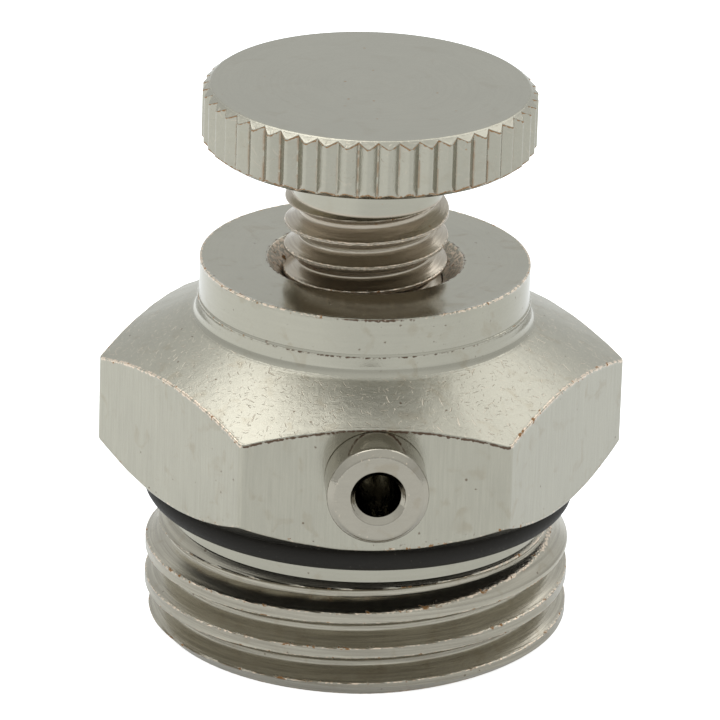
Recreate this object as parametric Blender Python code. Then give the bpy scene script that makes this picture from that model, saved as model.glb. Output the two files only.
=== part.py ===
"""Manual air vent valve with a knurled bleed screw, for a G 1/2 port. Lengths are in metres.

The origin is on the valve's axis, in the plane of the hexagon's underside: that face stops
against the port when the valve is screwed in. +Z runs up the axis to the knob, and the outlet
nozzle points along -Y. The bleed screw stands 1.5 turns open.
"""

import math

import bmesh
import bpy

MM = 0.001

# Clearances between pieces
REST_GAP = 0.05 * MM
PRESS_GAP = 0.03 * MM
THREAD_SIDE_PLAY = 0.06 * MM
THREAD_TIP_PLAY = 0.08 * MM
THREAD_ROOT_PLAY = 0.15 * MM
NOSE_PLAY = 0.45 * MM
POCKET_PLAY = 0.10 * MM

# Hexagon of the body, for a 22 mm spanner
HEX_ACROSS_FLATS = 22.0 * MM
HEX_CORNER_TOP = 5.50 * MM
HEX_CORNER_BOTTOM = 1.35 * MM
HEX_TOP_SLOPE = math.radians(27.5)
HEX_BOTTOM_SLOPE = math.radians(34.0)

# Collar that carries the bleed screw
COLLAR_DIAMETER = 15.9 * MM
COLLAR_TOP = 10.72 * MM
COLLAR_EDGE = 0.12 * MM
COLLAR_BAND_WIDTH = 0.33 * MM
COLLAR_BAND_STEP = 0.08 * MM
COLLAR_FILLET = 0.8 * MM
MOUTH_DIAMETER = 9.5 * MM

# Neck and G 1/2 thread below the hexagon
NECK_DIAMETER = 18.3 * MM
NECK_HEIGHT = 2.25 * MM
TAIL_LENGTH = 7.9 * MM
TAIL_EDGE = 0.725 * MM
PIPE_THREAD_DIAMETER = 20.55 * MM
PIPE_THREAD_PITCH = 1.814 * MM
PIPE_THREAD_DEPTH = 0.975 * MM
PIPE_THREAD_ROOT_FLAT = 0.30 * MM
PIPE_THREAD_HALF_ANGLE = math.radians(27.5)
PIPE_THREAD_CREST_DEPTH = 3.64 * MM

# Waterway through the body
HOLLOW_DIAMETER = 14.0 * MM
HOLLOW_EDGE = 0.4 * MM
DRILL_POINT_SLOPE = math.radians(31.0)
SEAT_HEIGHT = 0.90 * MM
SEAT_LIP_HEIGHT = 0.40 * MM
SEAT_LIP_WIDTH = 0.60 * MM
ORIFICE_DIAMETER = 2.2 * MM
WEB_THICKNESS = 1.2 * MM

# M8 thread of the bleed screw
SCREW_THREAD_DIAMETER = 7.87 * MM
SCREW_THREAD_PITCH = 1.25 * MM
SCREW_THREAD_DEPTH = 0.735 * MM
SCREW_THREAD_HALF_ANGLE = math.radians(30.0)
SCREW_THREAD_CREST_HEIGHT = 10.43 * MM
THREAD_RUN_OUT_TURNS = 0.3
TURNS_TO_CLOSE = 1.5

# Bleed screw
KNOB_DIAMETER = 16.0 * MM
KNOB_THICKNESS = 2.92 * MM
KNURL_COUNT = 50
KNURL_DEPTH = 0.33 * MM
KNURL_LAND_SHARE = 0.12
KNURL_START = math.radians(2.9)
KNOB_EDGE_WIDTH = 0.40 * MM
KNOB_EDGE_HEIGHT = 0.30 * MM
SHOULDER_DIAMETER = 7.2 * MM
SHOULDER_LENGTH = 2.46 * MM
SHOULDER_STAND_OFF = 3.42 * MM
NOSE_LENGTH = 4.0 * MM
NOSE_WALL = 0.50 * MM
NOSE_LIP_THICKNESS = 0.35 * MM
NOSE_LIP_HOLD = 0.40 * MM

# Rubber button in the screw's nose
SEAL_HEAD_THICKNESS = 1.2 * MM
SEAL_STAND_OUT = 0.20 * MM

# Outlet nozzle, pressed into the front flat
NOZZLE_DIAMETER = 4.8 * MM
NOZZLE_REACH = 2.4 * MM
NOZZLE_EDGE = 0.30 * MM
NOZZLE_AXIS_HEIGHT = 3.9 * MM
NOZZLE_BORE_DIAMETER = 2.1 * MM
NOZZLE_MOUTH_DIAMETER = 2.7 * MM
SPIGOT_DIAMETER = 3.8 * MM
SPIGOT_LENGTH = 3.4 * MM
SPIGOT_EDGE = 0.25 * MM

# O-ring under the hexagon
O_RING_SECTION = 1.25 * MM

# Fineness of the round shapes
BODY_STEPS = 72
SCREW_STEPS = 36
NOZZLE_STEPS = 32
O_RING_STEPS = 60
O_RING_SECTION_STEPS = 10
FILLET_STEPS = 4
WELD_DISTANCE = 0.0005 * MM
CUT_OVERRUN = 1.0 * MM
BAR_ALLOWANCE = 0.05 * MM
GROOVE_OPENING_SHARE = 0.98
FRONT_ANGLE = -math.pi / 2


def clear_scene():
    """Remove every object, so that the model starts from nothing."""
    for item in list(bpy.data.objects):
        bpy.data.objects.remove(item)


def make_material(name, colour, metallic, roughness):
    """Return a Principled material with one colour and finish."""
    material = bpy.data.materials.new(name)
    material.use_nodes = True
    shader = material.node_tree.nodes["Principled BSDF"]
    shader.inputs["Base Color"].default_value = (*colour, 1.0)
    shader.inputs["Metallic"].default_value = metallic
    shader.inputs["Roughness"].default_value = roughness
    return material


def add_object(name, mesh_builder, material=None):
    """Turn a bmesh into an object with clean normals, and link it."""
    bmesh.ops.recalc_face_normals(mesh_builder, faces=mesh_builder.faces)
    mesh = bpy.data.meshes.new(name)
    mesh_builder.to_mesh(mesh)
    mesh_builder.free()
    mesh.shade_smooth()
    mesh.set_sharp_from_angle(angle=math.radians(25.0))
    item = bpy.data.objects.new(name, mesh)
    bpy.context.scene.collection.objects.link(item)
    if material:
        mesh.materials.append(material)
    return item


def turned(profile, steps):
    """Spin a closed (radius, height) outline once around Z."""
    builder = bmesh.new()
    points = [builder.verts.new((radius, 0.0, height)) for radius, height in profile]
    edges = [
        builder.edges.new((start, end))
        for start, end in zip(points, points[1:] + points[:1])
        if start.co.x > 0.0 or end.co.x > 0.0
    ]
    bmesh.ops.spin(
        builder,
        geom=points + edges,
        cent=(0.0, 0.0, 0.0),
        axis=(0.0, 0.0, 1.0),
        angle=2.0 * math.pi,
        steps=steps,
        use_merge=True,
    )
    bmesh.ops.remove_doubles(builder, verts=builder.verts, dist=WELD_DISTANCE)
    return builder


def threaded_groove(
    section, pitch, passing_height, low, high, steps, fade_low=0.0, fade_high=0.0
):
    """Sweep a (radius, height) section up a right-hand helix.

    The helix passes the front of the valve at passing_height plus whole pitches, and the
    sweep runs from low to high. Over the run-out at its lower or upper end the section moves
    out of the metal by fade_low or fade_high, as the end of a cut thread does.
    """
    builder = bmesh.new()
    first = math.ceil((low - passing_height) / pitch * steps)
    last = math.floor((high - passing_height) / pitch * steps)
    run_out = steps * THREAD_RUN_OUT_TURNS
    rings = []
    for index in range(first, last + 1):
        angle = FRONT_ANGLE + 2.0 * math.pi * index / steps
        rise = passing_height + pitch * index / steps
        drift = fade_low * max(0.0, 1.0 - (index - first) / run_out)
        drift += fade_high * max(0.0, 1.0 - (last - index) / run_out)
        ring = [
            builder.verts.new(
                (
                    (radius + drift) * math.cos(angle),
                    (radius + drift) * math.sin(angle),
                    rise + height,
                )
            )
            for radius, height in section
        ]
        rings.append(ring)
    for ring, following in zip(rings, rings[1:]):
        for here, there in zip(range(len(ring)), range(-1, len(ring) - 1)):
            builder.faces.new((ring[here], ring[there], following[there], following[here]))
    builder.faces.new(rings[0])
    builder.faces.new(rings[-1])
    return builder


def make_cutter(name, mesh_builder):
    """Link a cutting shape that only guides a Boolean modifier."""
    cutter = add_object(name, mesh_builder)
    cutter.hide_render = True
    cutter.display_type = "WIRE"
    return cutter


def add_boolean(item, cutter, operation="DIFFERENCE"):
    """Cut, join or intersect an object with another one."""
    modifier = item.modifiers.new(cutter.name, "BOOLEAN")
    modifier.operation = operation
    modifier.solver = "EXACT"
    modifier.object = cutter


def add_weld(item):
    """Merge the points that a cut leaves on top of each other."""
    modifier = item.modifiers.new("weld", "WELD")
    modifier.merge_threshold = WELD_DISTANCE


def groove_section(root_radius, root_width, pitch, half_angle, opens):
    """Return a V groove's section with a flat root.

    It opens outwards (opens = 1) or towards the axis (opens = -1), until it nearly meets the
    next turn, so that its open side always stands clear of the metal.
    """
    root = root_width / 2.0
    side = pitch * GROOVE_OPENING_SHARE / 2.0
    open_radius = root_radius + opens * (side - root) / math.tan(half_angle)
    return [(root_radius, -root), (open_radius, -side), (open_radius, side), (root_radius, root)]


def hexagon_corner_radius():
    """Return half the hexagon's size across its corners."""
    return HEX_ACROSS_FLATS / 2.0 / math.cos(math.pi / 6.0)


def top_cone_height(radius):
    """Return the height of the hexagon's top cone at a radius."""
    return HEX_CORNER_TOP + (hexagon_corner_radius() - radius) * math.tan(HEX_TOP_SLOPE)


def collar_fillet():
    """Return the arc between the collar's lower band and the hexagon's top cone."""
    band_radius = COLLAR_DIAMETER / 2.0 + COLLAR_BAND_STEP
    centre_radius = band_radius + COLLAR_FILLET
    centre_height = top_cone_height(centre_radius) + COLLAR_FILLET / math.cos(HEX_TOP_SLOPE)
    sweep = math.pi / 2.0 - HEX_TOP_SLOPE
    arc = []
    for step in range(FILLET_STEPS + 1):
        angle = math.pi + sweep * step / FILLET_STEPS
        arc.append(
            (
                centre_radius + COLLAR_FILLET * math.cos(angle),
                centre_height + COLLAR_FILLET * math.sin(angle),
            )
        )
    return arc


def body_outline():
    """Return the outer outline of the turned body, from the collar's top down to the tail."""
    collar = COLLAR_DIAMETER / 2.0
    band = collar + COLLAR_BAND_STEP
    fillet = collar_fillet()
    band_top = fillet[0][1] + COLLAR_BAND_WIDTH
    corner = hexagon_corner_radius()
    blank = corner + BAR_ALLOWANCE
    land = corner - HEX_CORNER_BOTTOM / math.tan(HEX_BOTTOM_SLOPE)
    neck = NECK_DIAMETER / 2.0
    crest = PIPE_THREAD_DIAMETER / 2.0
    shoulder = crest - neck
    return [
        (0.0, COLLAR_TOP),
        (collar - COLLAR_EDGE, COLLAR_TOP),
        (collar, COLLAR_TOP - COLLAR_EDGE),
        (collar, band_top + COLLAR_BAND_STEP),
        (band, band_top),
        *fillet,
        (blank, top_cone_height(blank)),
        (blank, HEX_CORNER_BOTTOM + (blank - corner) * math.tan(HEX_BOTTOM_SLOPE)),
        (land, 0.0),
        (neck, 0.0),
        (neck, -NECK_HEIGHT),
        (crest, -NECK_HEIGHT - shoulder),
        (crest, -TAIL_LENGTH + TAIL_EDGE),
        (crest - TAIL_EDGE, -TAIL_LENGTH),
        (0.0, -TAIL_LENGTH),
    ]


def waterway_outline():
    """Return the outline of the body's bores, from the tail up through the seat to the mouth."""
    hollow = HOLLOW_DIAMETER / 2.0
    orifice = ORIFICE_DIAMETER / 2.0
    bore = screw_bore_radius()
    mouth = MOUTH_DIAMETER / 2.0
    floor = SEAT_HEIGHT - SEAT_LIP_HEIGHT
    drill_tip = floor - WEB_THICKNESS
    drill_shoulder = drill_tip - (hollow - orifice) * math.tan(DRILL_POINT_SLOPE)
    return [
        (0.0, -TAIL_LENGTH - CUT_OVERRUN),
        (hollow + HOLLOW_EDGE + CUT_OVERRUN, -TAIL_LENGTH - CUT_OVERRUN),
        (hollow, -TAIL_LENGTH + HOLLOW_EDGE),
        (hollow, drill_shoulder),
        (orifice, drill_tip),
        (orifice, SEAT_HEIGHT),
        (orifice + SEAT_LIP_WIDTH, SEAT_HEIGHT),
        (orifice + SEAT_LIP_WIDTH, floor),
        (bore, floor),
        (bore, COLLAR_TOP - (mouth - bore)),
        (mouth + CUT_OVERRUN, COLLAR_TOP + CUT_OVERRUN),
        (0.0, COLLAR_TOP + CUT_OVERRUN),
    ]


def nozzle_socket_outline():
    """Return the outline of the radial socket and port, measured outwards from the axis."""
    flat = HEX_ACROSS_FLATS / 2.0
    port = NOZZLE_BORE_DIAMETER / 2.0
    socket = SPIGOT_DIAMETER / 2.0 + PRESS_GAP
    socket_floor = flat - SPIGOT_LENGTH - REST_GAP
    start = screw_bore_radius() - CUT_OVERRUN
    return [
        (0.0, start),
        (port, start),
        (port, socket_floor),
        (socket, socket_floor),
        (socket, flat + CUT_OVERRUN),
        (0.0, flat + CUT_OVERRUN),
    ]


def hexagon_bar():
    """Build the six-sided bar that the body is turned from, with flats to the front and back."""
    builder = bmesh.new()
    bottom = -TAIL_LENGTH - CUT_OVERRUN
    top = COLLAR_TOP + CUT_OVERRUN
    bmesh.ops.create_circle(builder, cap_ends=True, radius=hexagon_corner_radius(), segments=6)
    for corner, point in enumerate(builder.verts):
        angle = math.pi / 3.0 * corner
        point.co.x = hexagon_corner_radius() * math.cos(angle)
        point.co.y = hexagon_corner_radius() * math.sin(angle)
        point.co.z = bottom
    extruded = bmesh.ops.extrude_face_region(builder, geom=list(builder.faces))
    raised = [part for part in extruded["geom"] if isinstance(part, bmesh.types.BMVert)]
    bmesh.ops.translate(builder, verts=raised, vec=(0.0, 0.0, top - bottom))
    return builder


def pipe_thread_groove():
    """Build the G 1/2 groove, which leaves the metal at the tail and in the neck."""
    crest = PIPE_THREAD_DIAMETER / 2.0
    section = groove_section(
        crest - PIPE_THREAD_DEPTH,
        PIPE_THREAD_ROOT_FLAT,
        PIPE_THREAD_PITCH,
        PIPE_THREAD_HALF_ANGLE,
        opens=1,
    )
    groove_height = PIPE_THREAD_PITCH / 2.0 - PIPE_THREAD_CREST_DEPTH
    low = -TAIL_LENGTH - PIPE_THREAD_PITCH
    high = -NECK_HEIGHT + PIPE_THREAD_PITCH / 2.0
    return threaded_groove(section, PIPE_THREAD_PITCH, groove_height, low, high, BODY_STEPS)


def screw_root_radius():
    """Return the radius at the bottom of the bleed screw's thread."""
    return SCREW_THREAD_DIAMETER / 2.0 - SCREW_THREAD_DEPTH


def screw_bore_radius():
    """Return the radius of the body's bore, into which the M8 thread is cut."""
    return screw_root_radius() + THREAD_ROOT_PLAY


def screw_groove_section(root_radius, opens):
    """Return the section of an M8 groove, in the screw (opens = 1) or in the body (-1).

    Halfway up the thread each groove is half a pitch wide plus the side play, so the teeth of
    one piece stand clear in the grooves of the other.
    """
    middle = SCREW_THREAD_DIAMETER / 2.0 - SCREW_THREAD_DEPTH / 2.0
    narrowing = 2.0 * abs(root_radius - middle) * math.tan(SCREW_THREAD_HALF_ANGLE)
    root_width = SCREW_THREAD_PITCH / 2.0 + THREAD_SIDE_PLAY - narrowing
    return groove_section(
        root_radius, root_width, SCREW_THREAD_PITCH, SCREW_THREAD_HALF_ANGLE, opens
    )


def body_screw_groove():
    """Build the M8 groove inside the collar.

    It is cut to full depth down to half a tooth below the closed screw's first thread, and
    fades out in the bore below that.
    """
    root = SCREW_THREAD_DIAMETER / 2.0 + THREAD_TIP_PLAY
    half_tooth = SCREW_THREAD_PITCH / 4.0
    lowest_tooth = thread_start_height() - closing_lift() - half_tooth
    low = lowest_tooth - SCREW_THREAD_PITCH * THREAD_RUN_OUT_TURNS
    high = COLLAR_TOP + SCREW_THREAD_PITCH
    return threaded_groove(
        screw_groove_section(root, opens=-1),
        SCREW_THREAD_PITCH,
        SCREW_THREAD_CREST_HEIGHT,
        low,
        high,
        SCREW_STEPS,
        fade_low=screw_bore_radius() - root - THREAD_TIP_PLAY,
    )


def spindle_groove():
    """Build the M8 groove of the bleed screw. It fades out under the shoulder."""
    return threaded_groove(
        screw_groove_section(screw_root_radius(), opens=1),
        SCREW_THREAD_PITCH,
        SCREW_THREAD_CREST_HEIGHT + SCREW_THREAD_PITCH / 2.0,
        thread_start_height() - SCREW_THREAD_PITCH,
        shoulder_height(),
        SCREW_STEPS,
        fade_high=SCREW_THREAD_DEPTH + THREAD_TIP_PLAY,
    )


def closing_lift():
    """Return how far the screw comes down when it is closed."""
    return TURNS_TO_CLOSE * SCREW_THREAD_PITCH


def seal_face_height():
    """Return the height of the rubber button's lower face."""
    return SEAT_HEIGHT + REST_GAP + closing_lift()


def nose_tip_height():
    """Return the height of the screw's lower end."""
    return seal_face_height() + SEAL_STAND_OUT


def thread_start_height():
    """Return the height at which the screw's thread starts."""
    return nose_tip_height() + NOSE_LENGTH


def shoulder_height():
    """Return the height at which the screw's thread ends under the plain shoulder."""
    return COLLAR_TOP + SHOULDER_STAND_OFF


def knob_height():
    """Return the height of the knob's underside."""
    return shoulder_height() + SHOULDER_LENGTH


def pocket_radius():
    """Return the radius of the pocket in the screw's nose."""
    return screw_bore_radius() - NOSE_PLAY - NOSE_WALL


def make_valve_body(material):
    """Build the body: hexagon, collar, tail with its thread, waterway and nozzle socket."""
    body = add_object("valve_body", turned(body_outline(), BODY_STEPS), material)
    add_boolean(body, make_cutter("hexagon_bar", hexagon_bar()), "INTERSECT")
    add_boolean(body, make_cutter("pipe_thread_groove", pipe_thread_groove()))
    add_boolean(body, make_cutter("waterway", turned(waterway_outline(), SCREW_STEPS)))
    add_boolean(body, make_cutter("body_screw_groove", body_screw_groove()))
    socket = make_cutter("nozzle_socket", turned(nozzle_socket_outline(), NOZZLE_STEPS))
    socket.location.z = NOZZLE_AXIS_HEIGHT
    socket.rotation_euler.x = math.pi / 2.0
    add_boolean(body, socket)
    add_weld(body)
    return body


def make_o_ring(material):
    """Build the O-ring on the neck, close under the hexagon."""
    section = O_RING_SECTION / 2.0
    centre_radius = NECK_DIAMETER / 2.0 + REST_GAP + section
    centre_height = -REST_GAP - section
    profile = []
    for step in range(O_RING_SECTION_STEPS):
        angle = 2.0 * math.pi * step / O_RING_SECTION_STEPS
        radius = centre_radius + section * math.cos(angle)
        profile.append((radius, centre_height + section * math.sin(angle)))
    return add_object("flange_o_ring", turned(profile, O_RING_STEPS), material)


def nozzle_outline():
    """Return the nozzle's outline, measured outwards from the front flat."""
    outer = NOZZLE_DIAMETER / 2.0
    bore = NOZZLE_BORE_DIAMETER / 2.0
    mouth = NOZZLE_MOUTH_DIAMETER / 2.0
    spigot = SPIGOT_DIAMETER / 2.0
    return [
        (bore, -SPIGOT_LENGTH),
        (spigot - SPIGOT_EDGE, -SPIGOT_LENGTH),
        (spigot, -SPIGOT_LENGTH + SPIGOT_EDGE),
        (spigot, REST_GAP),
        (outer, REST_GAP),
        (outer, NOZZLE_REACH - NOZZLE_EDGE),
        (outer - NOZZLE_EDGE, NOZZLE_REACH),
        (mouth, NOZZLE_REACH),
        (bore, NOZZLE_REACH - (mouth - bore)),
    ]


def make_nozzle(material):
    """Build the outlet nozzle and stand it on the front flat."""
    nozzle = add_object("outlet_nozzle", turned(nozzle_outline(), NOZZLE_STEPS), material)
    nozzle.location = (0.0, -HEX_ACROSS_FLATS / 2.0, NOZZLE_AXIS_HEIGHT)
    nozzle.rotation_euler.x = math.pi / 2.0
    return nozzle


def knurl_point(index):
    """Return the angle and the radius of one point of the knurled rim."""
    crest = KNOB_DIAMETER / 2.0
    tooth = 2.0 * math.pi / KNURL_COUNT
    half_land = tooth * KNURL_LAND_SHARE / 2.0
    place, part = divmod(index, 3)
    offset = (-half_land, half_land, tooth / 2.0)[part]
    radius = crest - KNURL_DEPTH if part == 2 else crest
    return FRONT_ANGLE + KNURL_START + tooth * place + offset, radius


def knurled_knob():
    """Build the knob: the knurled rim between two bevels, each a low cone."""
    builder = bmesh.new()
    flat = KNOB_DIAMETER / 2.0 - KNOB_EDGE_WIDTH
    slope = KNOB_EDGE_HEIGHT / KNOB_EDGE_WIDTH
    bottom = knob_height()
    top = bottom + KNOB_THICKNESS
    rim = [knurl_point(index) for index in range(3 * KNURL_COUNT)]
    levels = [
        [(angle, flat, bottom) for angle, _ in rim],
        [(angle, radius, bottom + slope * (radius - flat)) for angle, radius in rim],
        [(angle, radius, top - slope * (radius - flat)) for angle, radius in rim],
        [(angle, flat, top) for angle, _ in rim],
    ]
    rings = []
    for level in levels:
        rings.append(
            [
                builder.verts.new((radius * math.cos(angle), radius * math.sin(angle), height))
                for angle, radius, height in level
            ]
        )
    for lower, upper in zip(rings, rings[1:]):
        for here in range(len(lower)):
            following = (here + 1) % len(lower)
            builder.faces.new((lower[here], lower[following], upper[following], upper[here]))
    builder.faces.new(rings[0])
    builder.faces.new(rings[-1])
    return builder


def spindle_outline():
    """Return the spindle's outline, from the pocket in its nose up into the knob."""
    nose = screw_bore_radius() - NOSE_PLAY
    crest = SCREW_THREAD_DIAMETER / 2.0
    shoulder = SHOULDER_DIAMETER / 2.0
    root = screw_root_radius()
    pocket = pocket_radius()
    lip = pocket - NOSE_LIP_HOLD
    tip = nose_tip_height()
    start = thread_start_height()
    lip_top = tip + NOSE_LIP_THICKNESS
    pocket_top = lip_top + SEAL_HEAD_THICKNESS + 2.0 * REST_GAP
    shoulder_cone = (crest - shoulder) * math.tan(SCREW_THREAD_HALF_ANGLE)
    return [
        (0.0, pocket_top),
        (pocket, pocket_top),
        (pocket, lip_top),
        (lip, tip),
        (nose, tip),
        (nose, start),
        (root, start),
        (crest, start + crest - root),
        (crest, shoulder_height() - shoulder_cone),
        (shoulder, shoulder_height()),
        (shoulder, knob_height() + KNOB_THICKNESS / 2.0),
        (0.0, knob_height() + KNOB_THICKNESS / 2.0),
    ]


def make_bleed_screw(material):
    """Build the bleed screw: knurled knob, shoulder, M8 spindle and nose in one piece."""
    screw = add_object("bleed_screw", knurled_knob(), material)
    spindle = make_cutter("spindle", turned(spindle_outline(), SCREW_STEPS))
    add_boolean(screw, spindle, "UNION")
    add_boolean(screw, make_cutter("spindle_groove", spindle_groove()))
    add_weld(screw)
    return screw


def seal_outline():
    """Return the rubber button's outline: a head in the pocket and a face below the lip."""
    head = pocket_radius() - POCKET_PLAY
    face = head - NOSE_LIP_HOLD
    lip_top = nose_tip_height() + NOSE_LIP_THICKNESS
    head_bottom = lip_top + REST_GAP
    return [
        (0.0, seal_face_height()),
        (face, seal_face_height()),
        (face, head_bottom),
        (head, head_bottom),
        (head, head_bottom + SEAL_HEAD_THICKNESS),
        (0.0, head_bottom + SEAL_HEAD_THICKNESS),
    ]


def make_seal_button(material):
    """Build the rubber button, which seals on the seat and doesn't turn with the screw."""
    return add_object("seal_button", turned(seal_outline(), NOZZLE_STEPS), material)


def add_screw_axis(moving):
    """Hang the moving pieces on an empty on the screw's axis, at the body's mouth."""
    axis = bpy.data.objects.new("screw_axis", None)
    axis.location.z = COLLAR_TOP
    bpy.context.scene.collection.objects.link(axis)
    bpy.context.view_layer.update()
    for item in moving:
        item.parent = axis
        item.matrix_parent_inverse = axis.matrix_world.inverted()


def main():
    """Build the whole valve."""
    clear_scene()
    satin_nickel = make_material("satin_nickel", (0.56, 0.55, 0.51), 1.0, 0.34)
    bright_nickel = make_material("bright_nickel", (0.62, 0.60, 0.55), 1.0, 0.18)
    black_rubber = make_material("black_rubber", (0.02, 0.02, 0.02), 0.0, 0.65)
    make_valve_body(satin_nickel)
    make_nozzle(bright_nickel)
    make_o_ring(black_rubber)
    screw = make_bleed_screw(satin_nickel)
    seal = make_seal_button(black_rubber)
    add_screw_axis([screw, seal])


main()
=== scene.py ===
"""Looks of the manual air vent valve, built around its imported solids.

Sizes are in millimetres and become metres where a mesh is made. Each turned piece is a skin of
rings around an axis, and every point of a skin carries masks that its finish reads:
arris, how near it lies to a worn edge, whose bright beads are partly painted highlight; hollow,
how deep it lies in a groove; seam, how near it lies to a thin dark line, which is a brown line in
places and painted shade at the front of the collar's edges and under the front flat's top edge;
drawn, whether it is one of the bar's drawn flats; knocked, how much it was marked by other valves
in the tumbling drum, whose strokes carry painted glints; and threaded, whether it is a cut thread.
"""

import logging
import math
from dataclasses import dataclass, field

import bmesh
import bpy
import numpy as np
from mathutils import Matrix, Vector


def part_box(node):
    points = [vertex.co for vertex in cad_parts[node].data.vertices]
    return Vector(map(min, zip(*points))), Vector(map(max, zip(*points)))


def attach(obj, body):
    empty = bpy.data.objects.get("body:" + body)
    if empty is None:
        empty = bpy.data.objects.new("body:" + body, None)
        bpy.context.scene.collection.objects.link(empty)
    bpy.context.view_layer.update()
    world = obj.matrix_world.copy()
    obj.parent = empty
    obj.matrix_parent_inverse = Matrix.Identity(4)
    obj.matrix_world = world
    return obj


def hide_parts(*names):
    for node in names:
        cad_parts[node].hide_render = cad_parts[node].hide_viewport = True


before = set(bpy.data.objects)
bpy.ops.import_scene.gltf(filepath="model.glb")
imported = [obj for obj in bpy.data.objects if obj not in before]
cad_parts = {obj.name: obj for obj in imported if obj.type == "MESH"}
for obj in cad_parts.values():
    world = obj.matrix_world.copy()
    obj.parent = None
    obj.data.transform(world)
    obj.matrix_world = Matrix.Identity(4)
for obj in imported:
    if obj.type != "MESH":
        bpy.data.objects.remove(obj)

LOG = logging.getLogger("air_vent")
MM = 0.001
TURN = 2.0 * math.pi
SIXTH = math.pi / 3.0
FRONT = -math.pi / 2.0
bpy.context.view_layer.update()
MASKS = ("arris", "hollow", "seam", "drawn", "knocked", "threaded")
NEAR_ARRIS = (0.03, 0.07, 0.13, 0.30)
NEAR_SHARE = 0.4
ARRIS_REACH = 0.08
SEAM_REACH = 0.12
ROUNDING_SHARE = 0.45
SHARP_ANGLE = math.radians(40.0)

Columns = float | np.ndarray
Colour = tuple[float, float, float]
Span = tuple[float, float]


def node_box(node: str) -> tuple[Vector, Vector]:
    """Return the lowest and highest corner of a solid, in millimetres."""
    low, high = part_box(node)
    return low / MM, high / MM


def bell(distance: Columns, reach: float) -> Columns:
    """Return 1 at a distance of 0, falling smoothly to almost 0 at twice the reach."""
    return np.exp(-((distance / reach) ** 2))


def soft_min(first: Columns, second: Columns, width: float) -> Columns:
    """Return the smaller of two lengths, rounded over a width where they cross."""
    share = np.clip(1.0 - np.abs(first - second) / width, 0.0, 1.0)
    return np.minimum(first, second) - share * share * width / 4.0


def soft_max(first: Columns, second: Columns, width: float) -> Columns:
    """Return the larger of two lengths, rounded as soft_min rounds."""
    return -soft_min(-first, -second, width)


def wander(angles: np.ndarray, seed: int, waves: int, lowest: int) -> np.ndarray:
    """Return a smooth uneven line around the axis, which closes on itself.

    Args:
        angles: The angle of each column, in radians.
        seed: Picks one line among many.
        waves: The number of waves that are added up.
        lowest: How often the longest wave goes up and down in a turn.

    Returns:
        A value from about -1 to 1 for each column.
    """
    dice = np.random.default_rng(seed)
    total = np.zeros_like(angles)
    for order in range(lowest, lowest + waves):
        total += np.cos(order * angles + dice.uniform(0.0, TURN))
    return total / math.sqrt(waves)


@dataclass
class Corner:
    """One corner of an outline, which may move from column to column.

    It is worn to both sides, and the line of its seam starts at the corner and lies on the
    stretch that follows it.
    """

    radius: Columns
    height: Columns
    rounding: float = 0.0
    worn: Columns = 0.0
    steps: int = 4
    seam: Columns = 0.0


@dataclass
class Ring:
    """One ring of points around the axis. A mask that it doesn't name is 0 all round."""

    radius: Columns
    height: Columns
    masks: dict[str, Columns] = field(default_factory=dict)


def spread(value: Columns, angles: np.ndarray) -> np.ndarray:
    """Return a value for every column."""
    return np.broadcast_to(np.asarray(value, dtype=float), angles.shape).copy()


def stations(length: float, spacing: float) -> list[float]:
    """Return where rings lie on a stretch, as shares of it, closer together near its ends."""
    near = [reach / length for reach in NEAR_ARRIS if reach < NEAR_SHARE * length]
    edge = near[-1] if near else 0.0
    count = max(1, math.ceil((1.0 - 2.0 * edge) * length / spacing))
    middle = [edge + (1.0 - 2.0 * edge) * step / count for step in range(1, count)]
    return near + middle + [1.0 - share for share in reversed(near)]


def outline_rings(corners: list[Corner], angles: np.ndarray, spacing: float) -> list[Ring]:
    """Turn an outline into rings, with its corners rounded.

    Args:
        corners: The outline's corners in order. The first and last aren't rounded.
        angles: The angle of each column.
        spacing: The widest step between two rings on a straight stretch.

    Returns:
        The rings from the first corner to the last.
    """
    points = [
        np.stack([spread(corner.radius, angles), spread(corner.height, angles)])
        for corner in corners
    ]
    leaving = points[0]
    rings = [Ring(*leaving, {"arris": corners[0].worn, "seam": corners[0].seam})]
    for index in range(1, len(corners)):
        last, corner = corners[index - 1], corners[index]
        here = points[index]
        arriving, departing = here, here
        if corner.rounding and index < len(corners) - 1:
            back, ahead = points[index - 1] - here, points[index + 1] - here
            back_length = np.maximum(np.hypot(*back), 1e-9)
            ahead_length = np.maximum(np.hypot(*ahead), 1e-9)
            shorter = np.minimum(back_length, ahead_length)
            reach = np.minimum(corner.rounding, ROUNDING_SHARE * shorter)
            arriving = here + back / back_length * reach
            departing = here + ahead / ahead_length * reach
        run = arriving - leaving
        length = np.hypot(*run)
        for share in stations(float(length.mean()), spacing):
            since, until = share * length, (1.0 - share) * length
            wear = last.worn * bell(since, ARRIS_REACH)
            wear += corner.worn * bell(until, ARRIS_REACH)
            seam = last.seam * bell(since, SEAM_REACH)
            rings.append(Ring(*(leaving + run * share), {"arris": wear, "seam": seam}))
        if arriving is here:
            rings.append(Ring(*here, {"arris": corner.worn, "seam": corner.seam}))
        else:
            for step in range(corner.steps + 1):
                s = step / corner.steps
                bend = (1 - s) ** 2 * arriving + 2 * s * (1 - s) * here + s * s * departing
                rings.append(Ring(*bend, {"arris": corner.worn, "seam": corner.seam * s}))
        leaving = departing
    return rings


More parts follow.
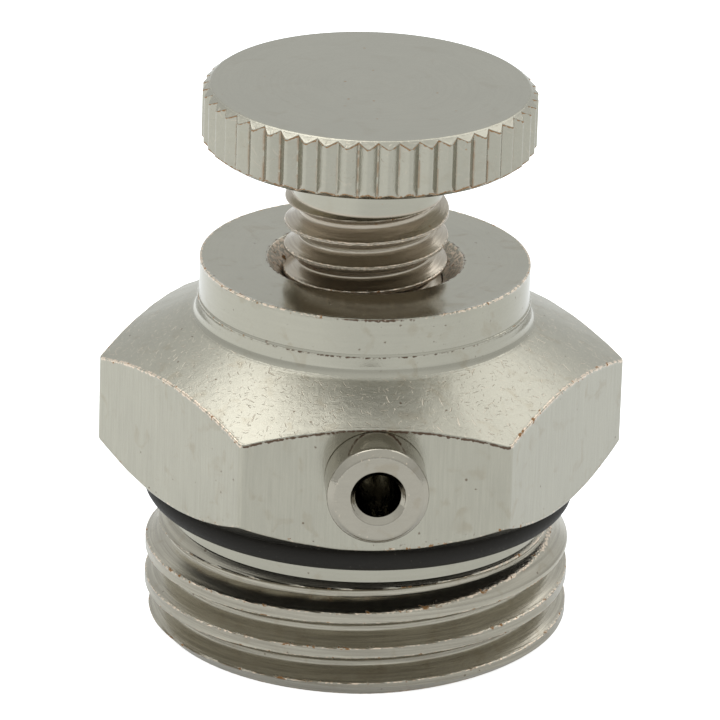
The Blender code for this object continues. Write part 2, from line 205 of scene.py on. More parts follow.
@dataclass
class Thread:
    """A right-hand V groove that winds up around the axis."""

    pitch: float
    root: float
    crest: float
    root_width: float
    half_angle: float
    groove_height: float
    opens: int = 1
    fade_end: float | None = None
    fade_turns: float = 0.3
    rounding: float = 0.06
    root_rounding: float = 0.05
    crest_wear_and_highlight_reach: float = 0.06

    def surface(self, angles: np.ndarray, height: float) -> np.ndarray:
        """Return the radius of the grooved surface at one height, left open past the crest."""
        first = self.groove_height + self.pitch * (angles - FRONT) / TURN
        centre = first + np.round((height - first) / self.pitch) * self.pitch
        side = soft_max(np.abs(height - centre) - self.root_width / 2.0, 0.0, self.root_rounding)
        rise = side / math.tan(self.half_angle)
        if self.fade_end is not None:
            left = self.opens * (self.fade_end - centre)
            fade = np.clip(1.0 - left / (self.fade_turns * self.pitch), 0.0, None)
            rise = rise + fade * abs(self.crest - self.root)
        return self.root + self.opens * rise

    def cut(self, angles: np.ndarray, height: float, outline: Columns) -> Ring:
        """Cut the groove into an outline at one height.

        Args:
            angles: The angle of each column.
            height: The height of the ring.
            outline: The radius of the uncut piece.

        Returns:
            The ring with its masks: arris along the crests, threaded all over.
        """
        groove = self.surface(angles, height)
        blend = soft_min if self.opens > 0 else soft_max
        # The crest mask paints bright beads along the crests: partly worn metal, partly painted
        # highlight.
        masks = {"arris": bell(groove - outline, self.crest_wear_and_highlight_reach), "threaded": 1.0}
        return Ring(blend(groove, outline, self.rounding), height, masks)


def add_object(name: str, data: bpy.types.ID) -> bpy.types.Object:
    """Make an object and link it to the scene."""
    item = bpy.data.objects.new(name, data)
    bpy.context.scene.collection.objects.link(item)
    return item


class Skin:
    """A surface made of rings of points, with the masks of each point."""

    def __init__(self) -> None:
        """Start with no points."""
        self.points: list[tuple[float, float, float]] = []
        self.faces: list[tuple[int, ...]] = []
        self.masks: dict[str, list[float]] = {name: [] for name in MASKS}

    def add_ring(self, ring: Ring, angles: np.ndarray) -> list[int]:
        """Add one ring of points and return their numbers."""
        first = len(self.points)
        across, along = ring.radius * np.cos(angles), ring.radius * np.sin(angles)
        heights = spread(ring.height, angles)
        self.points.extend(zip(across.tolist(), along.tolist(), heights.tolist()))
        for name, values in self.masks.items():
            values.extend(spread(ring.masks.get(name, 0.0), angles).tolist())
        return list(range(first, len(self.points)))

    def fan(self, ring: list[int], height: float) -> None:
        """Close a ring with triangles that meet at a point on the axis."""
        pole = len(self.points)
        self.points.append((0.0, 0.0, height))
        for values in self.masks.values():
            values.append(0.0)
        for here, there in zip(ring, ring[1:] + ring[:1]):
            self.faces.append((here, there, pole))

    def bridge(self, lower: list[int], upper: list[int]) -> None:
        """Join two rings that have the same number of points, or twice as many in the first."""
        count = len(upper)
        for here in range(count):
            there = (here + 1) % count
            if len(lower) == count:
                self.faces.append((lower[here], lower[there], upper[there], upper[here]))
                continue
            middle, end = lower[2 * here + 1], lower[(2 * here + 2) % len(lower)]
            self.faces.append((lower[2 * here], middle, upper[here]))
            self.faces.append((middle, upper[there], upper[here]))
            self.faces.append((middle, end, upper[there]))

    def wrap(self, rings: list[Ring], angles: np.ndarray) -> list[list[int]]:
        """Add rings, join each to the next, and return the points' numbers ring by ring."""
        numbers = [self.add_ring(ring, angles) for ring in rings]
        for lower, upper in zip(numbers, numbers[1:]):
            self.bridge(lower, upper)
        return numbers

    def to_object(self, name: str, turn: Matrix | None = None) -> bpy.types.Object:
        """Make the mesh object, in metres, with its faces pointing out.

        Args:
            name: The piece's name.
            turn: Where the skin's axis goes, if it isn't the valve's own axis.

        Returns:
            The new object.
        """
        mesh = bpy.data.meshes.new(name)
        mesh.from_pydata(self.points, [], self.faces)
        for mask, values in self.masks.items():
            mesh.attributes.new(mask, "FLOAT", "POINT").data.foreach_set("value", values)
        mesh.transform(Matrix.Scale(MM, 4))
        if turn:
            mesh.transform(turn)
        builder = bmesh.new()
        builder.from_mesh(mesh)
        bmesh.ops.recalc_face_normals(builder, faces=builder.faces)
        builder.to_mesh(mesh)
        builder.free()
        mesh.shade_smooth()
        return add_object(name, mesh)


def forward_axis(start: float, height: float) -> Matrix:
    """Return the matrix that lays a skin's axis out of the valve's front.

    Args:
        start: Where the skin's own zero goes, from the valve's axis towards the rear.
        height: The height of the axis.

    Returns:
        The matrix, in metres.
    """
    place = Matrix.Translation((0.0, start * MM, height * MM))
    return place @ Matrix.Rotation(math.pi / 2.0, 4, "X")


def cut_hole(piece: bpy.types.Object, tool: bpy.types.Object) -> None:
    """Cut one mesh out of another for good, and remove the tool.

    Args:
        piece: The piece that is cut.
        tool: The closed shape that is taken out of it.
    """
    modifier = piece.modifiers.new("cut", "BOOLEAN")
    modifier.operation = "DIFFERENCE"
    modifier.solver = "EXACT"
    modifier.object = tool
    view = bpy.context.evaluated_depsgraph_get()
    result = bpy.data.meshes.new_from_object(piece.evaluated_get(view))
    piece.modifiers.clear()
    old = piece.data
    piece.data = result
    result.name = piece.name
    bpy.data.meshes.remove(old)
    bpy.data.objects.remove(tool)
    result.set_sharp_from_angle(angle=SHARP_ANGLE)


class Graph:
    """A node tree that is written down in short calls."""

    def __init__(self, tree: bpy.types.NodeTree) -> None:
        """Keep the tree and count its nodes, to lay them out."""
        self.tree = tree
        self.count = 0

    def node(
        self, kind: str, feeds: dict[str | int, object] | None = None, **settings: object
    ) -> bpy.types.Node:
        """Add a node.

        Args:
            kind: Blender's type name of the node.
            feeds: The value or socket for each input, by the input's name or number.
            **settings: Properties of the node to set.

        Returns:
            The new node.
        """
        made = self.tree.nodes.new(kind)
        made.location = (220.0 * (self.count % 12), -260.0 * (self.count // 12))
        self.count += 1
        for name, value in settings.items():
            setattr(made, name, value)
        for label, value in (feeds or {}).items():
            self.feed(made.inputs[label], value)
        return made

    def feed(self, socket: bpy.types.NodeSocket, value: object) -> None:
        """Link a socket to another one, or set its number or colour."""
        if isinstance(value, bpy.types.NodeSocket):
            self.tree.links.new(value, socket)
        else:
            socket.default_value = value

    def maths(self, operation: str, *values: object) -> object:
        """Add a Math node and return its result."""
        return self.node("ShaderNodeMath", dict(enumerate(values)), operation=operation).outputs[0]

    def times(self, value: object, *factors: object) -> object:
        """Return the product of several numbers."""
        for factor in factors:
            value = self.maths("MULTIPLY", value, factor)
        return value

    def linear(self, value: object, slope: object, start: object) -> object:
        """Return a number times a slope, plus a start."""
        return self.maths("MULTIPLY_ADD", value, slope, start)

    def vector_maths(self, operation: str, *values: object) -> object:
        """Add a Vector Math node and return its vector."""
        feeds = dict(enumerate(values))
        return self.node("ShaderNodeVectorMath", feeds, operation=operation).outputs[0]

    def dot(self, first: object, second: object) -> object:
        """Return the dot product of two vectors."""
        feeds = {0: first, 1: second}
        return self.node("ShaderNodeVectorMath", feeds, operation="DOT_PRODUCT").outputs["Value"]

    def split(self, vector: object) -> object:
        """Return the three parts of a vector."""
        return self.node("ShaderNodeSeparateXYZ", {0: vector}).outputs

    def join(self, *parts: object) -> object:
        """Return the vector that three numbers make."""
        return self.node("ShaderNodeCombineXYZ", dict(enumerate(parts))).outputs[0]

    def effect(self, group: bpy.types.NodeTree, **values: object) -> object:
        """Place a shared effect, with a value or socket for each input; return its outputs."""
        return self.node("ShaderNodeGroup", values, node_tree=group).outputs

    def noise(
        self, where: object, scale: object, detail: float = 2.0, bend: float = 0.0
    ) -> object:
        """Add a noise and return its value.

        Args:
            where: The point that the noise is read at.
            scale: How many waves lie in a metre.
            detail: The number of finer layers.
            bend: How much the noise is distorted.

        Returns:
            The noise's value, from 0 to 1.
        """
        feeds = {"Vector": where, "Scale": scale, "Detail": detail, "Distortion": bend}
        return self.node("ShaderNodeTexNoise", feeds).outputs[0]

    def cells(self, where: object, scale: object) -> tuple[object, object]:
        """Scatter one point in each cell and return the outputs and each cell's three dice."""
        feeds = {"Vector": where, "Scale": scale}
        found = self.node("ShaderNodeTexVoronoi", feeds, feature="F1").outputs
        return found, self.node("ShaderNodeSeparateColor", {0: found["Color"]}).outputs

    def step(self, value: object, low: object, high: object) -> object:
        """Return 0 below low, 1 above high, and a smooth ramp between them."""
        feeds = {"Value": value, "From Min": low, "From Max": high}
        return self.node("ShaderNodeMapRange", feeds, interpolation_type="SMOOTHSTEP").outputs[0]

    def threshold(self, value: object, level: object, softness: float) -> object:
        """Return 0 below a level and 1 from a little above it."""
        return self.step(value, level, self.maths("ADD", level, softness))

    def blend(self, share: object, first: object, second: object) -> object:
        """Return a colour between two others."""
        feeds = {0: share, 6: first, 7: second}
        return self.node("ShaderNodeMix", feeds, data_type="RGBA").outputs[2]

    def between(self, share: object, first: object, second: object) -> object:
        """Return a number between two others."""
        feeds = {0: share, 2: first, 3: second}
        return self.node("ShaderNodeMix", feeds, data_type="FLOAT").outputs[0]

    def bump(self, shader: bpy.types.Node, height: object) -> None:
        """Give a shader the relief of a height in metres."""
        made = self.node("ShaderNodeBump", {"Strength": 1.0, "Distance": 1.0, "Height": height})
        self.feed(shader.inputs["Normal"], made.outputs[0])


class SharedEffect(Graph):
    """The graph of a node group that several finishes use."""

    def __init__(self, name: str, vectors: str, numbers: str, masks: str) -> None:
        """Start the group.

        Args:
            name: The group's name.
            vectors: The names of the inputs that are vectors, with spaces between them.
            numbers: The names of the inputs that are numbers.
            masks: The names of the outputs, which are numbers.
        """
        tree = bpy.data.node_groups.new(name, "ShaderNodeTree")
        for labels, way, kind in (
            (vectors, "INPUT", "NodeSocketVector"),
            (numbers, "INPUT", "NodeSocketFloat"),
            (masks, "OUTPUT", "NodeSocketFloat"),
        ):
            for label in labels.split():
                tree.interface.new_socket(label, in_out=way, socket_type=kind)
        super().__init__(tree)
        self.given = self.node("NodeGroupInput").outputs
        self.result = self.node("NodeGroupOutput").inputs


@dataclass
class Effects:
    """The shader effects that the finishes share, each built once.

    A name that ends in line holds a slope and a start, and one that ends in ramp holds the
    values where a mask starts and is full.
    """

    knock_layers: int = 3
    layer_growth: float = 0.5
    layer_shift: tuple[float, float, float] = (0.0131, 0.0297, 0.0171)
    knock_bend: float = 0.9
    knock_reach_line: Span = (0.34, 0.10)
    knock_taper: float = 0.5
    marks_around: float = 0.03
    marks_upright: float = 0.05
    speck_size_line: Span = (0.22, 0.04)
    speck_ragged: float = 0.5
    speck_edge: float = 0.08
    speck_finer: float = 4.0
    bead_line: Span = (-0.36, 0.76)
    bead_ramp: Span = (0.02, 0.35)
    bead_softness: float = 0.12
    spot_line: Span = (-0.36, 0.80)
    spot_ramp: Span = (0.10, 0.60)
    spot_softness: float = 0.05
    spot_coarser: float = 0.45
    seam_line: Span = (-0.62, 0.88)
    seam_ramp: Span = (0.03, 0.30)
    seam_softness: float = 0.14

    def __post_init__(self) -> None:
        """Build every group."""
        self.knocks = self.build_knocks()
        self.tool_marks = self.build_tool_marks()
        self.specks = self.build_specks()
        self.edge_wear_and_highlight = self.build_edge_wear_and_highlight()
        self.brown_dirt_line_and_shade = self.build_brown_dirt_line_and_shade()

    def build_knocks(self) -> bpy.types.NodeTree:
        """Build short bent strokes that lie every way on a surface, one at most in a cell."""
        graph = SharedEffect("short_knocks", "Where Facing", "Scale Width Share", "Mask")
        given = graph.given
        total = None
        for layer in range(self.knock_layers):
            scale = graph.times(given["Scale"], 1.0 + self.layer_growth * layer)
            shift = tuple(part * layer for part in self.layer_shift)
            where = graph.vector_maths("ADD", given["Where"], shift)
            cell, dice = graph.cells(where, scale)
            off = graph.vector_maths("SUBTRACT", where, cell["Position"])
            chance = graph.vector_maths("SUBTRACT", cell["Color"], (0.5, 0.5, 0.5))
            along = graph.vector_maths("CROSS_PRODUCT", given["Facing"], chance)
            along = graph.vector_maths("NORMALIZE", along)
            across = graph.vector_maths("CROSS_PRODUCT", given["Facing"], along)
            run = graph.times(graph.dot(off, along), scale)
            side = graph.times(graph.dot(off, across), scale)
            bend = graph.times(graph.maths("SUBTRACT", dice[0], 0.5), graph.times(run, run))
            line = graph.maths("ABSOLUTE", graph.linear(bend, self.knock_bend, side))
            thin = graph.step(line, given["Width"], 0.0)
            reach = graph.linear(dice[0], *self.knock_reach_line)
            taper = graph.times(reach, self.knock_taper)
            short = graph.step(graph.maths("ABSOLUTE", run), reach, taper)
            shown = graph.times(graph.maths("LESS_THAN", dice[1], given["Share"]), dice[2])
            stroke = graph.times(thin, short, shown)
            total = stroke if total is None else graph.maths("MAXIMUM", total, stroke)
        graph.feed(graph.result["Mask"], total)
        return graph.tree

    def build_tool_marks(self) -> bpy.types.NodeTree:
        """Build fine parallel tool marks, around the axis or straight up."""
        graph = SharedEffect("tool_marks", "Where", "Upright Scale", "Value")
        x, y, z = graph.split(graph.given["Where"])
        radius = graph.maths("SQRT", graph.linear(x, x, graph.times(y, y)))
        around = graph.join(graph.times(x, self.marks_around), radius, z)
        upright = graph.join(x, y, graph.times(z, self.marks_upright))
        feeds = {0: graph.given["Upright"], 4: around, 5: upright}
        chosen = graph.node("ShaderNodeMix", feeds, data_type="VECTOR").outputs[1]
        graph.feed(graph.result["Value"], graph.noise(chosen, graph.given["Scale"], 3.0))
        return graph.tree

    def build_specks(self) -> bpy.types.NodeTree:
        """Build scattered specks with ragged outlines, small and of uneven size."""
        graph = SharedEffect("specks", "Where", "Scale Amount", "Mask")
        where, scale = graph.given["Where"], graph.given["Scale"]
        cell, dice = graph.cells(where, scale)
        chosen = graph.maths("LESS_THAN", dice[0], graph.given["Amount"])
        size = graph.linear(dice[1], *self.speck_size_line)
        ragged = graph.noise(where, graph.times(scale, self.speck_finer))
        distance = graph.linear(ragged, self.speck_ragged, cell["Distance"])
        distance = graph.maths("SUBTRACT", distance, self.speck_ragged / 2.0)
        spot = graph.step(distance, graph.maths("ADD", size, self.speck_edge), size)
        graph.feed(graph.result["Mask"], graph.times(chosen, spot))
        return graph.tree

    def build_edge_wear_and_highlight(self) -> bpy.types.NodeTree:
        """Build the bright beads along an edge, partly bare metal and partly painted highlight,
        and the brown spots along a worn edge.
        """
        graph = SharedEffect("edge_wear_and_highlight", "Where", "Arris Scale Brown", "Bead Spot")
        where, arris, scale = (graph.given[name] for name in ("Where", "Arris", "Scale"))
        level = graph.linear(arris, *self.bead_line)
        bead = graph.threshold(graph.noise(where, scale, 3.0, 0.4), level, self.bead_softness)
        bead = graph.times(bead, graph.step(arris, *self.bead_ramp))
        graph.feed(graph.result["Bead"], bead)
        patch = graph.noise(where, graph.times(scale, self.spot_coarser), 3.0, 0.3)
        level = graph.linear(graph.given["Brown"], *self.spot_line)
        spot = graph.threshold(patch, level, self.spot_softness)
        spot = graph.times(spot, graph.step(arris, *self.spot_ramp))
        graph.feed(graph.result["Spot"], spot)
        return graph.tree

    def build_brown_dirt_line_and_shade(self) -> bpy.types.NodeTree:
        """Build the ragged dark line where two surfaces meet: brown dirt in places, painted shade
        along the front edges.
        """
        graph = SharedEffect("brown_dirt_line_and_shade", "Where", "Seam Scale", "Mask")
        seam = graph.given["Seam"]
        ragged = graph.noise(graph.given["Where"], graph.given["Scale"], 4.0, 0.3)
        line = graph.threshold(ragged, graph.linear(seam, *self.seam_line), self.seam_softness)
        graph.feed(graph.result["Mask"], graph.times(line, graph.step(seam, *self.seam_ramp)))
        return graph.tree


def new_material(name: str) -> tuple[bpy.types.Material, bpy.types.Node, Graph]:
    """Start a material and return it with its shader and its graph."""
    material = bpy.data.materials.new(name)
    material.use_nodes = True
    shader = material.node_tree.nodes["Principled BSDF"]
    return material, shader, Graph(material.node_tree)


@dataclass(frozen=True)
class PlatedMetal:
    """Nickel plate on brass, with bare and tarnished brass on its edges and in its grooves; the
    bright beads on its edges are partly painted highlight, its knock strokes carry painted glints,
    and its dark lines are partly painted shade.

    Scales are in waves or cells to a metre, and depths in metres.
    """

    name: str
    colour: Colour = (0.366, 0.350, 0.292)
    thread_colour: Colour = (0.470, 0.365, 0.285)
    bare_metal_and_highlight_colour: Colour = (0.66, 0.55, 0.44)
    spot_colour: Colour = (0.28, 0.14, 0.05)
    dirt_and_shade_colour: Colour = (0.10, 0.062, 0.038)
    stain_colour: Colour = (0.26, 0.215, 0.145)
    roughness: float = 0.15
    roughness_knocked: float = 0.19
    roughness_drawn: float = 0.04
    roughness_threaded: float = 0.09
    roughness_dull: float = 0.30
    metal_lost: float = -0.5
    unevenness: float = 0.05
    mottle_line: Span = (0.10, 0.95)
    cloud_scale: float = 420.0
    fine_scale: float = 14000.0
    brushing_scale: float = 9000.0
    brushing_depth: float = 0.0000006
    brushing_tint: float = 0.10
    thread_marks: float = 10.0
    thread_tint: float = 0.12
    drawn_marks: float = 2.5
    stains: float = 0.30
    stain_scale: float = 900.0
    stain_ramp: Span = (0.55, 0.72)
    knock_scale: float = 1250.0
    knock_width: float = 0.045
    knock_share: float = 0.95
    knock_elsewhere: float = 0.05
    # How far the knock strokes are lightened: a painted glint on each stroke.
    knock_painted_glint: float = 0.65
    knock_depth: float = 0.0000100
    grain_depth: float = 0.0000008
    grain_knocked: float = 0.0000038
    dent_scale: float = 2800.0
    dent_depth: float = 0.0000120
    crumbled_depth: float = 0.000042
    speck_scale: float = 4200.0
    speck_amount: float = 0.02
    speck_dark: float = 0.7
    edge_scale: float = 5200.0
    edge_brown: float = 0.5
    grime: float = 0.5
    grime_from: float = 0.5
    grime_scale: float = 2600.0
    grime_ramp: Span = (0.34, 0.58)

    def material(self, effects: Effects) -> bpy.types.Material:
        """Build the material.

        Args:
            effects: The shared shader groups.

        Returns:
            The finished material.
        """
        material, shader, graph = new_material(self.name)
        place = graph.node("ShaderNodeTexCoord")
        where, facing = place.outputs["Object"], place.outputs["Normal"]
        mask = {
            name: graph.node("ShaderNodeAttribute", attribute_name=name).outputs["Fac"]
            for name in MASKS
        }
        marks = graph.effect(
            effects.tool_marks, Where=where, Upright=mask["drawn"], Scale=self.brushing_scale
        )["Value"]
        knock = graph.effect(
            effects.knocks,
            Where=where,
            Facing=facing,
            Scale=self.knock_scale,
            Width=self.knock_width,
            Share=self.knock_share,
        )["Mask"]
        knock = graph.times(knock, graph.between(mask["knocked"], self.knock_elsewhere, 1.0))
        specks = graph.effect(
            effects.specks, Where=where, Scale=self.speck_scale, Amount=self.speck_amount
        )["Mask"]
        edge = graph.effect(
            effects.edge_wear_and_highlight,
            Where=where,
            Arris=mask["arris"],
            Scale=self.edge_scale,
            Brown=self.edge_brown,
        )
        line = graph.effect(
            effects.brown_dirt_line_and_shade, Where=where, Seam=mask["seam"], Scale=self.edge_scale
        )["Mask"]
        cloud = graph.noise(where, self.cloud_scale, 3.0, 0.5)
        fine = graph.noise(where, self.fine_scale)
        blotch = graph.step(graph.noise(where, self.stain_scale, 5.0, 0.8), *self.stain_ramp)
        worn_through = graph.step(mask["hollow"], self.grime_from, 1.0)
        patchy = graph.step(graph.noise(where, self.grime_scale, 4.0), *self.grime_ramp)
        grime = graph.times(worn_through, patchy, self.grime)

        stronger = graph.maths(
            "MAXIMUM",
            graph.between(mask["threaded"], 1.0, self.thread_marks),
            graph.between(mask["drawn"], 1.0, self.drawn_marks),
        )
        streak = graph.times(graph.maths("SUBTRACT", marks, 0.5), self.brushing_tint)
        tint = graph.times(
            graph.linear(cloud, *self.mottle_line),
            graph.linear(streak, stronger, 1.0),
            graph.linear(fine, *self.mottle_line),
        )
        feeds = {0: self.colour, "Scale": tint}
        colour = graph.node("ShaderNodeVectorMath", feeds, operation="SCALE").outputs[0]
        # Colours painted over the metal: thread tint, stains, grime in hollows and specks are the
        # metal's own; knock strokes are lightened as painted glints; the dark line is partly brown
        # dirt and partly painted shade; the beads are partly bare metal and partly painted
        # highlight; the spots are brown tarnish.
        for share, paint in (
            (graph.times(mask["threaded"], self.thread_tint), self.thread_colour),
            (graph.times(blotch, self.stains), self.stain_colour),
            (grime, self.dirt_and_shade_colour),
            (graph.times(specks, self.speck_dark), self.dirt_and_shade_colour),
            (graph.times(knock, self.knock_painted_glint), self.bare_metal_and_highlight_colour),
            (line, self.dirt_and_shade_colour),
            (edge["Bead"], self.bare_metal_and_highlight_colour),
            (edge["Spot"], self.spot_colour),
        ):
            colour = graph.blend(share, colour, (*paint, 1.0))
        graph.feed(shader.inputs["Base Color"], colour)
        dull = graph.maths("MAXIMUM", graph.maths("MAXIMUM", grime, line), edge["Spot"])
        graph.feed(shader.inputs["Metallic"], graph.linear(dull, self.metal_lost, 1.0))
        rough = self.roughness - self.unevenness / 2.0
        for share, more in (
            (cloud, self.unevenness),
            (mask["knocked"], self.roughness_knocked),
            (mask["drawn"], self.roughness_drawn),
            (mask["threaded"], self.roughness_threaded),
            (dull, self.roughness_dull),
        ):
            rough = graph.linear(share, more, rough)
        graph.feed(shader.inputs["Roughness"], rough)

        grain = graph.between(mask["knocked"], self.grain_depth, self.grain_knocked)
        relief = graph.times(marks, self.brushing_depth, stronger)
        relief = graph.maths("ADD", relief, graph.times(fine, grain))
        dents = graph.times(graph.noise(where, self.dent_scale, 3.0, 0.5), mask["knocked"])
        crumbled = graph.times(graph.noise(where, self.edge_scale, 4.0, 0.3), mask["arris"])
        for shape, depth in (
            (knock, -self.knock_depth),
            (dents, self.dent_depth),
            (crumbled, self.crumbled_depth),
        ):
            relief = graph.linear(shape, depth, relief)
        graph.bump(shader, relief)
        return material


@dataclass(frozen=True)
class BlackRubber:
    """Matt black rubber with a little dust on it."""

    name: str
    colour: Colour = (0.016, 0.0142, 0.0122)
    dust_colour: Colour = (0.14, 0.125, 0.10)
    dust_scale: float = 9000.0
    dust_amount: float = 0.06
    dust_share: float = 0.4
    grain_scale: float = 7000.0
    grain_share: float = 0.05
    grain_roughness: float = 0.25
    grain_depth: float = 0.000006
    roughness: float = 0.40
    gloss: float = 0.16

    def material(self, effects: Effects) -> bpy.types.Material:
        """Build the material out of the shared effects."""
        material, shader, graph = new_material(self.name)
        shader.inputs["Specular IOR Level"].default_value = self.gloss
        where = graph.node("ShaderNodeTexCoord").outputs["Object"]
        dust = graph.effect(
            effects.specks, Where=where, Scale=self.dust_scale, Amount=self.dust_amount
        )["Mask"]
        grain = graph.noise(where, self.grain_scale, 3.0)
        shade = (*self.colour, 1.0)
        for share in (graph.times(grain, self.grain_share), graph.times(dust, self.dust_share)):
            shade = graph.blend(share, shade, (*self.dust_colour, 1.0))
        graph.feed(shader.inputs["Base Color"], shade)
        rough = graph.linear(grain, self.grain_roughness, self.roughness)
        graph.feed(shader.inputs["Roughness"], rough)
        graph.bump(shader, graph.times(grain, self.grain_depth))
        return material


@dataclass
class ValveBody:
    """The turned body: collar, hexagon, neck, pipe thread, waterway and female screw thread."""

    across_flats: float = 22.0
    corner_top: float = 5.5
    corner_bottom: float = 1.35
    top_slope: float = math.radians(27.5)
    bottom_slope: float = math.radians(34.0)
    corner_rounding: float = 0.40
    corner_columns: tuple[float, ...] = (0.3, 0.6, 0.91, 1.25)
    corner_zone: float = math.radians(2.0)
    flat_columns: int = 39
    collar: float = 7.95
    collar_top: float = field(default_factory=lambda: node_box("valve_body")[1].z)
    band: float = 8.03
    band_top: float = 8.83
    band_step: float = 0.08
    fillet: float = 0.8
    mouth: float = 4.75
    neck: float = 9.15
    neck_height: float = 2.25
    tail: float = field(default_factory=lambda: -node_box("valve_body")[0].z)
    tail_edge: float = 0.725
    rim_step: float = 0.05
    hollow_radius: float = 7.0
    hollow_edge: float = 0.4
    drill_slope: float = math.radians(31.0)
    orifice: float = 1.1
    seat_height: float = 0.9
    lip_height: float = 0.4
    lip_width: float = 0.6
    web: float = 1.2
    bore: float = 3.35
    socket: float = 1.93
    socket_floor: float = 7.55
    socket_beyond: float = 1.0
    socket_columns: int = 96
    port: float = 1.05
    nozzle_height: float = 3.9
    uneven_height: float = 0.010
    # Painted shade and highlight by direction: towards the front, the collar's top edge and band
    # step get a darker line and fewer bright beads, and the front flat's top edge gets a painted
    # burr shadow.
    front_shade_width: float = 0.35
    front_highlight_cut: float = 0.75
    front_line_shade_width: float = 0.70
    upright_reach: float = 0.05
    upright_worn: float = 0.8
    flat_margin: float = 0.02
    cone_margin: float = 0.2
    cone_above_corner: float = 2.0
    band_margin: float = 0.05
    flat_stain: float = 0.44
    flat_stain_reach: float = 0.7
    collar_stain: float = 0.33
    collar_stain_below: float = 1.0
    mouth_worn: float = 0.90
    thread_blend: float = 0.08
    pipe_rings: int = 122
    deep_step: float = 0.13
    deep_end: float = 7.6
    near_from: float = 7.65
    near_rings: int = 62
    pipe_thread: Thread = field(
        default_factory=lambda: Thread(
            pitch=1.814,
            root=9.3,
            crest=10.275,
            root_width=0.30,
            half_angle=math.radians(27.5),
            groove_height=-2.733,
            crest_wear_and_highlight_reach=0.09,
        )
    )
    screw_thread: Thread = field(
        default_factory=lambda: Thread(
            pitch=1.25,
            root=4.015,
            crest=3.35,
            root_width=0.168,
            half_angle=math.radians(30.0),
            groove_height=10.43,
            opens=-1,
            fade_end=4.4625,
        )
    )

    def angles(self) -> np.ndarray:
        """Return the columns' angles, close together at the hexagon's corners."""
        near = np.radians(self.corner_columns)
        reach = SIXTH / 2.0 - self.corner_zone
        flat = np.linspace(-reach, reach, self.flat_columns)
        corner = SIXTH / 2.0 + np.concatenate([-near[::-1], [0.0], near])
        one = np.concatenate([flat, corner])
        return np.concatenate([FRONT + one + SIXTH * side for side in range(6)])

    def hexagon(self, angles: np.ndarray) -> np.ndarray:
        """Return the hexagon's radius at each column, with its corners rounded."""
        half = self.across_flats / 2.0
        off = np.abs((angles - FRONT + SIXTH / 2.0) % SIXTH - SIXTH / 2.0)
        centre = (half - self.corner_rounding) / math.cos(SIXTH / 2.0)
        tangent = math.atan2(centre * math.sin(SIXTH / 2.0), half)
        from_corner = SIXTH / 2.0 - off
        inside = np.clip(self.corner_rounding**2 - (centre * np.sin(from_corner)) ** 2, 0.0, None)
        rounded = centre * np.cos(from_corner) + np.sqrt(inside)
        return np.where(off > tangent, rounded, half / np.cos(off))

    def corner_radius(self) -> float:
        """Return how far the hexagon's corners would reach if they were sharp."""
        return self.across_flats / 2.0 / math.cos(SIXTH / 2.0)

    def cone_height(self, radius: Columns) -> Columns:
        """Return the height of the hexagon's upper cone at a radius."""
        return self.corner_top + (self.corner_radius() - radius) * math.tan(self.top_slope)

    def upper_rings(self, angles: np.ndarray) -> list[Ring]:
        """Build the outside from the mouth over the collar and hexagon down to the neck."""
        corner = self.corner_radius()
        side = self.hexagon(angles)
        lower = self.corner_bottom + (side - corner) * math.tan(self.bottom_slope)
        land = corner - self.corner_bottom / math.tan(self.bottom_slope)
        fillet = self.fillet * math.tan((math.pi / 2.0 - self.top_slope) / 2.0)
        uneven = self.uneven_height * wander(angles, 4, 40, 5)
        turned = (angles - FRONT + math.pi) % TURN - math.pi
        # Columns that face the front: their edge lines are painted shade, and their beads of
        # painted highlight are cut back.
        front = bell(turned, self.front_shade_width)
        facing = bell(turned, self.front_line_shade_width)
        nozzle_flat = (np.abs(turned) < SIXTH / 2.0).astype(float)
        collar_wear_and_highlight = 1.0 - self.front_highlight_cut * front
        flat_wear_and_highlight = 1.0 - self.front_highlight_cut * nozzle_flat
        rim, brim = self.collar_top + 0.3 * uneven, self.band_top + self.band_step
        cone_end = self.cone_height(side) + uneven
        # The front flat's top edge: a dark line just below it, painted as the shadow of a burr.
        flat_line_and_burr_shadow = 0.12 + 0.88 * nozzle_flat
        corners = [
            Corner(self.mouth, self.collar_top, worn=0.45, seam=0.75),
            Corner(self.collar, rim, 0.06, collar_wear_and_highlight, seam=front),
            Corner(self.collar, brim, 0.03, 0.1, 2),
            # Band step: a darker line and fewer bright beads towards the front, as painted shade.
            Corner(self.band, self.band_top, 0.03, 0.55 - 0.45 * facing, 2, 0.40 + 0.40 * facing),
            Corner(self.band, self.cone_height(self.band), fillet, 0.0, 9),
            Corner(side, cone_end, 0.06, flat_wear_and_highlight, seam=flat_line_and_burr_shadow),
            Corner(side, lower - uneven, 0.07, 0.55, seam=0.25),
            Corner(land, 0.0, 0.06, 0.4, 3),
            Corner(self.neck, 0.0, 0.10, 0.0, 3),
            Corner(self.neck, -self.neck_height),
        ]
        rings = outline_rings(corners, angles, 1.1)
        upright = self.upright_worn * bell(corner - side, self.upright_reach)
        cone_radius = self.band + self.cone_margin
        cone_from = self.corner_bottom + self.cone_above_corner
        collar_radius = self.band + self.band_margin
        collar_from = self.band_top - self.collar_stain_below
        for ring in rings:
            on_flat = np.abs(ring.radius - side) < self.flat_margin
            on_cone = (ring.radius > cone_radius) & (ring.height > cone_from)
            on_collar = (ring.radius < collar_radius) & (ring.height > collar_from)
            above = ring.height - lower
            on_low_flat = np.where(on_flat, bell(above, self.flat_stain_reach), 0.0)
            stained = np.maximum(self.flat_stain * on_low_flat, self.collar_stain * on_collar)
            masks = ring.masks
            masks["arris"] = np.maximum(masks["arris"], np.where(on_flat, upright, 0.0))
            masks["drawn"] = on_flat.astype(float)
            masks["knocked"] = np.where(on_cone & ~on_flat, 1.0, 0.0)
            masks["seam"] = np.maximum(masks["seam"], stained)
        return rings

